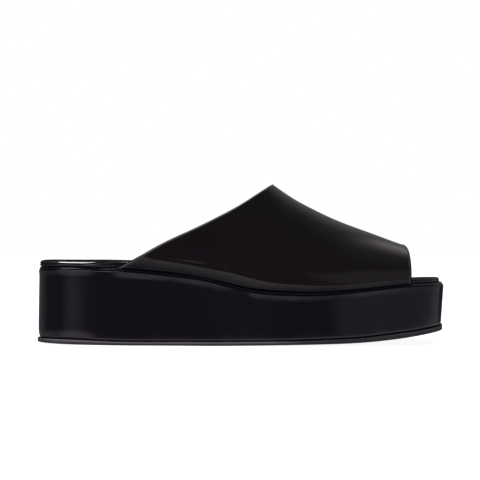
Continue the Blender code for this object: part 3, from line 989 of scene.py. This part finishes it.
# Soft pulls of the leather above the crease: ends (from_heel, height), how high and how wide the ridge is.
PULLS = (
    ((82.0, 55.9), (112.0, 53.6), 0.24, 1.9),
    ((98.0, 60.6), (118.0, 57.8), 0.26, 2.6),
    ((120.0, 51.0), (129.0, 50.9), 0.14, 1.4),
    ((128.0, 55.7), (149.0, 55.4), 0.16, 1.5),
)
# The folded edges at the topline and the toe: how wide the fold is, how high it stands and how softly it
# ends.
FOLD_WIDTH = 1.7
FOLD_HEIGHT = 0.08
FOLD_END = 0.4
TOE_FOLD_HEIGHT = 0.03
FOLD_TURN = 0.35
FOLD_TURN_DEPTH = 0.38
# The edges are inked: dull from the edge to the first distance, and polished from the second.
INKED_EDGE = (0.3, 0.55)
PATENT_DARK = (0.0078, 0.0061, 0.0082, 1.0)
PATENT_WARM = (0.0088, 0.0069, 0.0085, 1.0)

last = curves_of(LAST, LAST_COLUMNS)
topline = curves_of(TOPLINE, TOPLINE_COLUMNS)["height"]
crease = curves_of(CREASE, CREASE_COLUMNS)
margin_lean = curves_of(MARGIN_LEAN, MARGIN_LEAN_COLUMNS)


def half_width(from_heel, set_in, sign):
    """Distance from the middle line to the set-in plan, on the outer (-1) or inner (1) side."""
    points, normals = outline(UPPER_PLAN_STEPS)
    flat = points - normals * set_in
    picked = flat[np.sign(flat[:, 1]) == sign]
    order = np.argsort(picked[:, 0])
    return np.interp(from_heel, picked[order, 0], np.abs(picked[order, 1]))


def crease_height(from_heel):
    """Height of the crease above the joint."""
    return crease["rise"](from_heel) - JOINT_RISE


def crease_set_in(from_heel, above):
    """How far the vamp lies in from the margin, at a distance above the crease."""
    return np.clip(crease["step"](from_heel), 0, None) * soft_step(above, -CREASE_BELOW, CREASE_ABOVE)


def margin_set_in(from_heel, rise):
    """How far the margin lies in from the line of the upper, at a height above the joint."""
    foot = margin_lean["foot"](from_heel)
    tall = crease_height(from_heel) - foot
    share = np.clip((rise - foot) / tall, 0, 1)
    low, high = MARGIN_SLOPES
    leaned = tall * (low * (1 - share) + (high - low) * (1 - share**2) / 2) * margin_lean["lean"](from_heel)
    drop, turn_in = MARGIN_FOOT_ROUND
    below = np.clip(foot - rise, 0, None)
    turned = turn_in * (1 - np.sqrt(1 - np.clip(below / drop, 0, 1) ** 2))
    return leaned + turned + MARGIN_UNDERSIDE * np.clip(below - drop, 0, None)


def upper_margin(level, sign):
    """A line of the upper beside the insole, as a function of from_heel."""

    def place(from_heel):
        foot = margin_lean["foot"](from_heel)
        rise = foot + level * (foot if level < 0 else crease_height(from_heel) - foot)
        set_in = margin_set_in(from_heel, rise) + crease_set_in(from_heel, rise - crease_height(from_heel))
        return sign * (half_width(from_heel, EDGE_SET_IN, sign) - set_in), joint(from_heel) + rise

    return place


def upper_arch(angle):
    """A line of the upper over the foot. The angle runs from 0 at the outer crease to pi at the inner."""
    sign = -1 if angle < np.pi / 2 else 1

    def place(from_heel):
        base = joint(from_heel) + crease_height(from_heel)
        shift = last["crest_shift"](from_heel)
        power = last["arch_power"](from_heel)
        spread = np.abs(np.cos(angle)) ** power
        lift = (last["crest"](from_heel) - base) * np.sin(angle) ** power
        reach = half_width(from_heel, EDGE_SET_IN, sign) - crease_set_in(from_heel, lift)
        return shift + (sign * reach - shift) * spread, base + lift

    return place


def topline_start(place):
    """Where a line of the upper meets the topline."""
    behind, ahead = TOPLINE[0][0], TOPLINE[-1][0]
    for _ in range(TOPLINE_HALVINGS):
        middle = (behind + ahead) / 2
        if place(middle)[1] > topline(middle):
            behind = middle
        else:
            ahead = middle
    return ahead


upper_angles = np.concatenate([np.radians(CREASE_ANGLES), np.pi * np.arange(1, ARCH_STEPS // 2) / ARCH_STEPS])
upper_angles = np.concatenate([upper_angles, [np.pi / 2], np.pi - upper_angles[::-1]])
upper_lines = [(upper_margin(level, -1), 0.0) for level in MARGIN_LEVELS]
upper_lines += [(upper_arch(angle), np.sin(angle) ** TOE_EDGE_POWER) for angle in upper_angles]
upper_lines += [(upper_margin(level, 1), 0.0) for level in reversed(MARGIN_LEVELS)]
even = np.arange(UPPER_STEPS + 1) / UPPER_STEPS
closer_at_ends = (1 - np.cos(np.pi * even)) / 2
along_share = even + UPPER_END_SHARE * (closer_at_ends - even)
upper_grid = []
for place, swept in upper_lines:
    start = topline_start(place) + UPPER_LEATHER / 2
    end = TOE_EDGE - TOE_EDGE_SWEEP * swept
    from_heel = start + (end - start) * along_share
    across, up = place(from_heel)
    upper_grid.append(np.column_stack([from_heel, across, up]))
upper_grid = np.array(upper_grid)


def grid_normals(grid):
    """Outward normals of a grid of lines that run heel to toe, from the outer side to the inner."""
    along = np.gradient(grid, axis=1)
    across = np.gradient(grid, axis=0)
    normals = np.cross(along, across)
    return normals / np.linalg.norm(normals, axis=2)[:, :, None]


def shell(grid, normals, outside, inside, rim_steps):
    """Closed shell about a grid, between two depths below it, with rounded rims at both ends of its lines."""
    lines, steps = grid.shape[:2]
    outer = grid - normals * outside
    inner = grid - normals * inside
    middle = (outer + inner) / 2
    reach = (inside - outside) / 2
    loops = [outer]
    for end, side_step in ((-1, -2), (0, 1)):
        away = grid[:, end] - grid[:, side_step]
        away /= np.linalg.norm(away, axis=1)[:, None]
        turns = np.pi * np.arange(1, rim_steps) / rim_steps
        if end == 0:
            turns = turns[::-1]
        rim = [
            middle[:, end] + reach * (np.cos(turn) * normals[:, end] + np.sin(turn) * away) for turn in turns
        ]
        loops.append(np.stack(rim, axis=1))
        if end == -1:
            loops.append(inner[:, ::-1])
    loop = np.concatenate(loops, axis=1)
    count = loop.shape[1]
    faces = wall_faces(count, lines)
    for line, upward in ((0, False), (lines - 1, True)):
        first = line * count
        outer_row = [first + i for i in range(steps)]
        inner_row = [first + 2 * steps + rim_steps - 2 - i for i in range(steps)]
        toe_rim = [first + i for i in range(steps - 1, steps + rim_steps)]
        heel_rim = [first + i % count for i in range(2 * steps + rim_steps - 2, count + 1)]
        edge = strip_faces(outer_row, inner_row) + [tuple(toe_rim), tuple(heel_rim)]
        faces += [face[::-1] for face in edge] if upward else edge
    return loop, faces


upper_patent = new_finish(
    "upper_patent",
    tones=(PATENT_DARK, PATENT_WARM),
    roughness=PATENT_ROUGHNESS,
    patches=18.0,
    grain=PATENT_GRAIN,
    relief=PATENT_RELIEF,
    shine={"Specular IOR Level": 0.0, "Coat Roughness": 0.07},
)
polish_where_marked(upper_patent)


def distance_to(points, line):
    """Distance of each point of a grid to a line given by many points."""
    nearest = np.full(points.shape[:-1], np.inf)
    for start, end in zip(line[:-1], line[1:]):
        run = end - start
        share = np.clip((points - start) @ run / max(run @ run, SHORTEST_RUN), 0, 1)
        nearest = np.minimum(nearest, np.linalg.norm(points - start - share[..., None] * run, axis=-1))
    return nearest


upper_normals = grid_normals(upper_grid)
to_topline = distance_to(upper_grid, upper_grid[:, 0])
to_toe_edge = distance_to(upper_grid, upper_grid[:, -1])
raised = np.zeros(upper_grid.shape[:2])
for start, end, ridge, width in PULLS:
    off_ridge = distance_to(upper_grid[:, :, [0, 2]], np.array([start, end]))
    raised += ridge * np.exp(-((off_ridge / width) ** 2))
for to_edge, fold in ((to_topline, FOLD_HEIGHT), (to_toe_edge, TOE_FOLD_HEIGHT)):
    raised += fold * (1 - soft_step(to_edge, FOLD_WIDTH - FOLD_END, FOLD_WIDTH + FOLD_END))
raised -= FOLD_TURN_DEPTH * np.clip(1 - to_topline / FOLD_TURN, 0, 1)
upper_grid = upper_grid + upper_normals * raised[:, :, None]
upper_normals = grid_normals(upper_grid)
upper_loop, upper_faces = shell(upper_grid, upper_normals, 0.0, UPPER_LEATHER, UPPER_RIM_STEPS)
polished = soft_step(np.minimum(to_topline, to_toe_edge), *INKED_EDGE)
inked_rim = np.zeros((len(polished), UPPER_RIM_STEPS - 1))
upper_polish = np.concatenate([polished, inked_rim, polished[:, ::-1], inked_rim], axis=1)
upper = new_piece("vamp_upper", upper_loop, upper_faces, upper_patent, glossed=upper_polish)
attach(upper, "root")
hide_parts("upper")


# Upper lining: a thin sheet of the same smooth black leather as the insole's cover. It is cemented inside the
# vamp, and trimmed short of the folded edges and of the joint.
LINING_LEATHER = 0.45
LINING_CEMENT = 0.03
LINING_BELOW = UPPER_LEATHER + LINING_CEMENT
LINING_TRIM = 1.6
# The lining starts above the joint, this many lines of the upper up from its foot.
LINING_FIRST_LINE = 13


def run_of(points):
    """Distance along a line of points, from its start to each of them."""
    return np.concatenate([[0], np.cumsum(np.linalg.norm(np.diff(points, axis=0), axis=1))])


def along_line(at, run, values):
    """What a line's points hold, at distances along it."""
    return np.stack([np.interp(at, run, column) for column in values.T], axis=-1)


lining_lines = slice(LINING_FIRST_LINE, len(upper_grid) - LINING_FIRST_LINE)
lining_grid = []
lining_normals = []
for line, normals in zip(upper_grid[lining_lines], upper_normals[lining_lines]):
    run = run_of(line)
    kept = LINING_TRIM + (run[-1] - 2 * LINING_TRIM) * along_share[::2]
    lining_grid.append(along_line(kept, run, line))
    lining_normals.append(along_line(kept, run, normals))
lining_loop, lining_faces = shell(
    np.array(lining_grid),
    np.array(lining_normals),
    LINING_BELOW,
    LINING_BELOW + LINING_LEATHER,
    UPPER_RIM_STEPS,
)
lining = new_piece("vamp_lining", lining_loop, lining_faces, insole_leather)
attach(lining, "root")
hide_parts("upper")


# Edge stitching: a row of short stitches along the topline, in a glossy thread painted a lighter grey as a
# painted highlight for the glints it catches, and one along the toe edge in a darker thread. They go through
# the vamp and hold its folded edges down.
STITCH_FROM_EDGE = 0.75
STITCH_PITCH = 1.75
STITCH_LENGTH = 0.9
STITCH_RADIUS = 0.25
STITCH_SIDES = 8
# How far ahead the row's direction is read, how far a stitch stands up and how thick its ends are.
STITCH_AHEAD = 0.1
STITCH_STAND_SHARE = 0.4
STITCH_TIP_SHARE = 0.12
STITCH_RINGS = ((-1.0, 0.0), (-0.92, 0.55), (-0.7, 0.9), (0.0, 1.0), (0.7, 0.9), (0.92, 0.55), (1.0, 0.0))
# The topline thread is a lighter grey than the toe thread: a painted highlight for the glints the thread
# catches along the topline.
TOPLINE_THREAD_PAINTED_GLINT = ((0.260, 0.242, 0.267, 1.0), (0.360, 0.335, 0.368, 1.0))
TOE_THREAD = ((0.080, 0.073, 0.083, 1.0), (0.120, 0.110, 0.124, 1.0))


def stitch_row(to_edge, toward):
    """Places and normals along the upper at one distance from an edge, from the outer foot to the inner."""
    places, outward = [], []
    for line, normals, away in zip(upper_grid[:, ::toward], upper_normals[:, ::toward], to_edge[:, ::toward]):
        ahead = int(np.argmax(away > STITCH_FROM_EDGE))
        share = (STITCH_FROM_EDGE - away[ahead - 1]) / (away[ahead] - away[ahead - 1])
        places.append(line[ahead - 1] + share * (line[ahead] - line[ahead - 1]))
        outward.append(normals[ahead])
    return np.array(places), np.array(outward)


for row_name, tones, to_edge, toward in (
    ("topline_stitching", TOPLINE_THREAD_PAINTED_GLINT, to_topline, 1),
    ("toe_stitching", TOE_THREAD, to_toe_edge, -1),
):
    thread = new_finish(
        row_name + "_thread",
        tones=tones,
        roughness=(0.35, 0.45),
        patches=300.0,
        grain=(2600.0, 6000.0),
        relief=0.00002,
        shine={"Coat Weight": 1.0, "Coat Roughness": 0.15},
    )
    stitch_vertices = []
    stitch_faces = []
    places, outward = stitch_row(to_edge, toward)
    run = run_of(places)
    for at in np.arange(STITCH_PITCH, run[-1] - STITCH_PITCH, STITCH_PITCH):
        here = along_line(at, run, places)
        forward = along_line(at + STITCH_AHEAD, run, places) - here
        forward /= np.linalg.norm(forward)
        sideways = np.cross(along_line(at, run, outward), forward)
        sideways /= np.linalg.norm(sideways)
        up = np.cross(forward, sideways)
        first = len(stitch_vertices)
        for along_stitch, girth in STITCH_RINGS:
            middle = here + forward * along_stitch * STITCH_LENGTH / 2
            middle = middle + up * STITCH_RADIUS * STITCH_STAND_SHARE
            for turn in 2 * np.pi * np.arange(STITCH_SIDES) / STITCH_SIDES:
                spread = np.cos(turn) * sideways + np.sin(turn) * up
                stitch_vertices.append(middle + STITCH_RADIUS * max(girth, STITCH_TIP_SHARE) * spread)
        body = wall_faces(STITCH_SIDES, len(STITCH_RINGS))
        last_ring = STITCH_SIDES * (len(STITCH_RINGS) - 1)
        body.append(tuple(range(STITCH_SIDES))[::-1])
        body.append(tuple(range(last_ring, last_ring + STITCH_SIDES)))
        stitch_faces += [tuple(first + corner for corner in face) for face in body]
    stitches = new_piece(row_name, stitch_vertices, stitch_faces, thread)
    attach(stitches, "root")
    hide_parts("upper")


# Studio: a pale floor, white surroundings and a large soft light overhead. The side of the camera is dark,
# with one dim panel to its left and a broader one to its right. The camera looks level at the outer side.
FLOOR_REACH = 7.0
FLOOR_PAINT = (0.92, 0.92, 0.92, 1.0)
WHITE = (1.0, 1.0, 1.0, 1.0)
SURROUNDINGS_TINT = (1.04, 0.96, 1.06, 1.0)
DARK_LEVEL = 0.03
DEGREE = math.pi / 180
# The right panel: how its top slants, up to which azimuth, and how its near end leans.
RIGHT_PANEL_SLANT = -0.4
RIGHT_PANEL_SLANT_END = 45.0
RIGHT_PANEL_LEAN = 1.2
# How much darker the floor's reflection is to the left and behind the heel.
FLOOR_DARKER_LEFT = 0.5
FLOOR_DARKER_BEHIND = 0.8


def flat_sheet(name, corners, finish):
    """A flat sheet of the studio with four corners."""
    mesh = bpy.data.meshes.new(name)
    mesh.from_pydata(corners, [], [(0, 1, 2, 3)])
    mesh.materials.append(finish)
    sheet = bpy.data.objects.new(name, mesh)
    bpy.context.scene.collection.objects.link(sheet)
    return sheet


floor_paint = bpy.data.materials.new("pale_floor")
floor_paint.use_nodes = True
floor_finish = {
    "Base Color": FLOOR_PAINT,
    "Roughness": 0.9,
    "Specular IOR Level": 0.0,
    "Emission Color": WHITE,
    "Emission Strength": 0.9,
}
set_values(shader_of(floor_paint), floor_finish)
floor_corners = [(x * FLOOR_REACH, y * FLOOR_REACH, 0) for x, y in ((-1, -1), (1, -1), (1, 1), (-1, 1))]
floor = flat_sheet("floor", floor_corners, floor_paint)
floor.visible_glossy = False

studio = bpy.data.worlds.new("studio")
studio.use_nodes = True
bpy.context.scene.world = studio
sky = studio.node_tree
sky.nodes.clear()


def maths(tree, operation, first, second=None):
    """A maths node in a node tree. Each value is a socket or a number."""
    node = tree.nodes.new("ShaderNodeMath")
    node.operation = operation
    for i, value in enumerate((first, second)):
        if isinstance(value, (int, float)):
            node.inputs[i].default_value = value
        elif value is not None:
            tree.links.new(value, node.inputs[i])
    return node.outputs["Value"]


def product(tree, total, *others):
    """The product of sockets and numbers."""
    for value in others:
        total = maths(tree, "MULTIPLY", total, value)
    return total


def ramp(tree, value, start, end, low=0.0, high=1.0):
    """From low at start to high at end, with soft ends."""
    if start > end:
        start, end, low, high = end, start, high, low
    node = tree.nodes.new("ShaderNodeMapRange")
    node.interpolation_type = "SMOOTHSTEP"
    set_values(node, {"From Min": start, "From Max": end, "To Min": low, "To Max": high})
    tree.links.new(value, node.inputs["Value"])
    return node.outputs["Result"]


def window(value, rise, fall):
    """1 in the surroundings between a soft rise and a soft fall, and 0 outside them."""
    return product(sky, ramp(sky, value, *rise), ramp(sky, value, *reversed(fall)))


def soft_panel(around, rise, fall, low, high):
    """A soft panel of the surroundings, between two azimuths and two elevations in degrees."""
    return product(sky, window(around, rise, fall), window(elevation, low, high))


looking = sky.nodes.new("ShaderNodeTexCoord")
directions = sky.nodes.new("ShaderNodeSeparateXYZ")
connect(sky, (looking, "Generated", directions, "Vector"))
toward_toe, toward_back, upward = (directions.outputs[axis] for axis in "XYZ")
toward_camera = product(sky, toward_back, -1.0)
azimuth = maths(sky, "DIVIDE", maths(sky, "ARCTAN2", toward_toe, toward_camera), DEGREE)
back_azimuth = maths(sky, "DIVIDE", maths(sky, "ARCTAN2", toward_toe, toward_back), DEGREE)
elevation = maths(sky, "DIVIDE", maths(sky, "ARCSINE", upward), DEGREE)

left_panel = soft_panel(azimuth, (-64, -33), (-31, -13), (-30, -10), (14, 34))
slant = product(sky, maths(sky, "MINIMUM", azimuth, RIGHT_PANEL_SLANT_END), RIGHT_PANEL_SLANT)
right_height = ramp(sky, maths(sky, "ADD", elevation, slant), 18, 8)
leaning = maths(sky, "ADD", azimuth, product(sky, elevation, RIGHT_PANEL_LEAN))
right_panel = product(sky, ramp(sky, leaning, 2, 16), ramp(sky, azimuth, 129, 117), right_height)
right_far = product(sky, window(azimuth, (66, 84), (108, 122)), right_height)
backdrop = soft_panel(back_azimuth, (-2, 12), (34, 62), (-4, 0), (36, 60))
back_left = soft_panel(back_azimuth, (-78, -56), (-16, -4), (-30, -20), (2, 8))
left_high = soft_panel(azimuth, (-128, -104), (-72, -52), (36, 46), (60, 70))
left_mid = soft_panel(azimuth, (-78, -66), (-40, -22), (36, 44), (58, 68))
overhead = ramp(sky, elevation, 8, 40)
darker_left = product(sky, ramp(sky, azimuth, -50, -75), FLOOR_DARKER_LEFT)
darker_behind = product(sky, ramp(sky, azimuth, -106, -126), FLOOR_DARKER_BEHIND)
left_side, behind_heel = (maths(sky, "SUBTRACT", 1.0, darker) for darker in (darker_left, darker_behind))
floor_far = product(sky, ramp(sky, elevation, -4, -14), left_side, behind_heel)
floor_near = product(sky, ramp(sky, elevation, -12, -50), behind_heel)
brightness = DARK_LEVEL
for light, strength in (
    (left_panel, 0.22),
    (right_panel, 0.16),
    (right_far, 0.11),
    (backdrop, 0.13),
    (back_left, 0.09),
    (left_high, 1.6),
    (left_mid, 2.2),
    (overhead, 0.03),
    (floor_far, 0.5),
    (floor_near, 0.55),
):
    brightness = maths(sky, "ADD", product(sky, light, strength), brightness)
# What is reflected comes from the panels. Behind the shoe the camera sees white paper.
surroundings = sky.nodes.new("ShaderNodeBackground")
set_values(surroundings, {"Color": SURROUNDINGS_TINT})
sky.links.new(brightness, surroundings.inputs["Strength"])
white_paper = sky.nodes.new("ShaderNodeBackground")
set_values(white_paper, {"Color": WHITE})
seen = sky.nodes.new("ShaderNodeLightPath")
shown = sky.nodes.new("ShaderNodeMixShader")
sky_out = sky.nodes.new("ShaderNodeOutputWorld")
connect(
    sky,
    (seen, "Is Camera Ray", shown, "Fac"),
    (surroundings, "Background", shown, 1),
    (white_paper, "Background", shown, 2),
    (shown, "Shader", sky_out, "Surface"),
)


def soft_lamp(name, size, energy, place):
    """A rectangular lamp that shines straight down."""
    lamp_data = bpy.data.lights.new(name, "AREA")
    lamp_data.shape = "RECTANGLE"
    lamp_data.size, lamp_data.size_y = size
    lamp_data.energy = energy
    lamp = bpy.data.objects.new(name, lamp_data)
    lamp.location = place
    bpy.context.scene.collection.objects.link(lamp)
    return lamp


floor_light = soft_lamp("floor_light", (3.0, 3.0), 19.0, (0.0, 0.0, 2.2))
floor_light.visible_glossy = False
heel_lamp = soft_lamp("heel_lamp", (0.90, 0.15), 8.6, (-0.44, 0.21, 1.05))
heel_lamp.rotation_euler.z = math.radians(-52)
heel_lamp.visible_diffuse = False

# A long soft panel behind the toe, brightest along its edge towards the heel, with a dim glow in front of it.
# The box gives its left and right ends, front and back. A fade gives two places and the levels there.
TOE_PANEL_HEIGHT = 0.33
TOE_PANEL_BOX = ((0.10, 0.44), (-0.34, 0.80))
TOE_PANEL_TINT = (1.04, 0.97, 1.06, 1.0)
TOE_PANEL_SKEW = 0.17
TOE_PANEL_EDGE = 0.161
TOE_PANEL_STRENGTH = 0.54
PAST_EDGE_FADES = ((-0.012, 0.024, 0.0, 1.0), (0.03, 0.11, 1.0, 0.35))
ALONG_FADES = ((-0.06, 0.24, 0.0, 1.0), (0.28, 0.55, 1.0, 0.65))
DIM_ACROSS_FADE = (0.11, 0.18, 0.0, 0.09)
DIM_ALONG_FADES = ((-0.32, -0.02, 0.0, 1.0), (0.08, 0.26, 1.0, 0.15))

toe_panel_glow = bpy.data.materials.new("toe_panel_glow")
toe_panel_glow.use_nodes = True
glow = toe_panel_glow.node_tree
glow.nodes.clear()
panel_place = glow.nodes.new("ShaderNodeTexCoord")
panel_axes = glow.nodes.new("ShaderNodeSeparateXYZ")
connect(glow, (panel_place, "Object", panel_axes, "Vector"))
across_panel, along_panel = panel_axes.outputs["X"], panel_axes.outputs["Y"]
from_skew = maths(glow, "SUBTRACT", across_panel, product(glow, along_panel, TOE_PANEL_SKEW))
bright_fades = [
    ramp(glow, from_skew, TOE_PANEL_EDGE + start, TOE_PANEL_EDGE + end, low, high)
    for start, end, low, high in PAST_EDGE_FADES
]
bright_fades += [ramp(glow, along_panel, *fade) for fade in ALONG_FADES]
dim_fades = [ramp(glow, along_panel, *fade) for fade in DIM_ALONG_FADES]
bright_glow = product(glow, TOE_PANEL_STRENGTH, *bright_fades)
dim_glow = product(glow, ramp(glow, across_panel, *DIM_ACROSS_FADE), *dim_fades)
panel_emission = glow.nodes.new("ShaderNodeEmission")
set_values(panel_emission, {"Color": TOE_PANEL_TINT})
glow.links.new(maths(glow, "ADD", bright_glow, dim_glow), panel_emission.inputs["Strength"])
panel_clear = glow.nodes.new("ShaderNodeBsdfTransparent")
panel_both = glow.nodes.new("ShaderNodeAddShader")
panel_out = glow.nodes.new("ShaderNodeOutputMaterial")
connect(
    glow,
    (panel_emission, "Emission", panel_both, 0),
    (panel_clear, "BSDF", panel_both, 1),
    (panel_both, "Shader", panel_out, "Surface"),
)
(panel_left, panel_right), (panel_front, panel_back) = TOE_PANEL_BOX
panel_corners = [
    (panel_left, panel_back, TOE_PANEL_HEIGHT),
    (panel_right, panel_back, TOE_PANEL_HEIGHT),
    (panel_right, panel_front, TOE_PANEL_HEIGHT),
    (panel_left, panel_front, TOE_PANEL_HEIGHT),
]
toe_panel = flat_sheet("toe_panel", panel_corners, toe_panel_glow)
toe_panel.visible_camera = False
toe_panel.visible_shadow = False
toe_panel.visible_diffuse = False

camera_data = bpy.data.cameras.new("camera")
camera_data.lens = 114.85
camera_data.sensor_width = 36.0
camera = bpy.data.objects.new("camera", camera_data)
camera.location = (0.0, -1.0, 0.0666)
camera.rotation_euler = (math.pi / 2, 0.0, 0.0)
bpy.context.scene.collection.objects.link(camera)
bpy.context.scene.camera = camera
bpy.context.scene.view_settings.view_transform = "Standard"
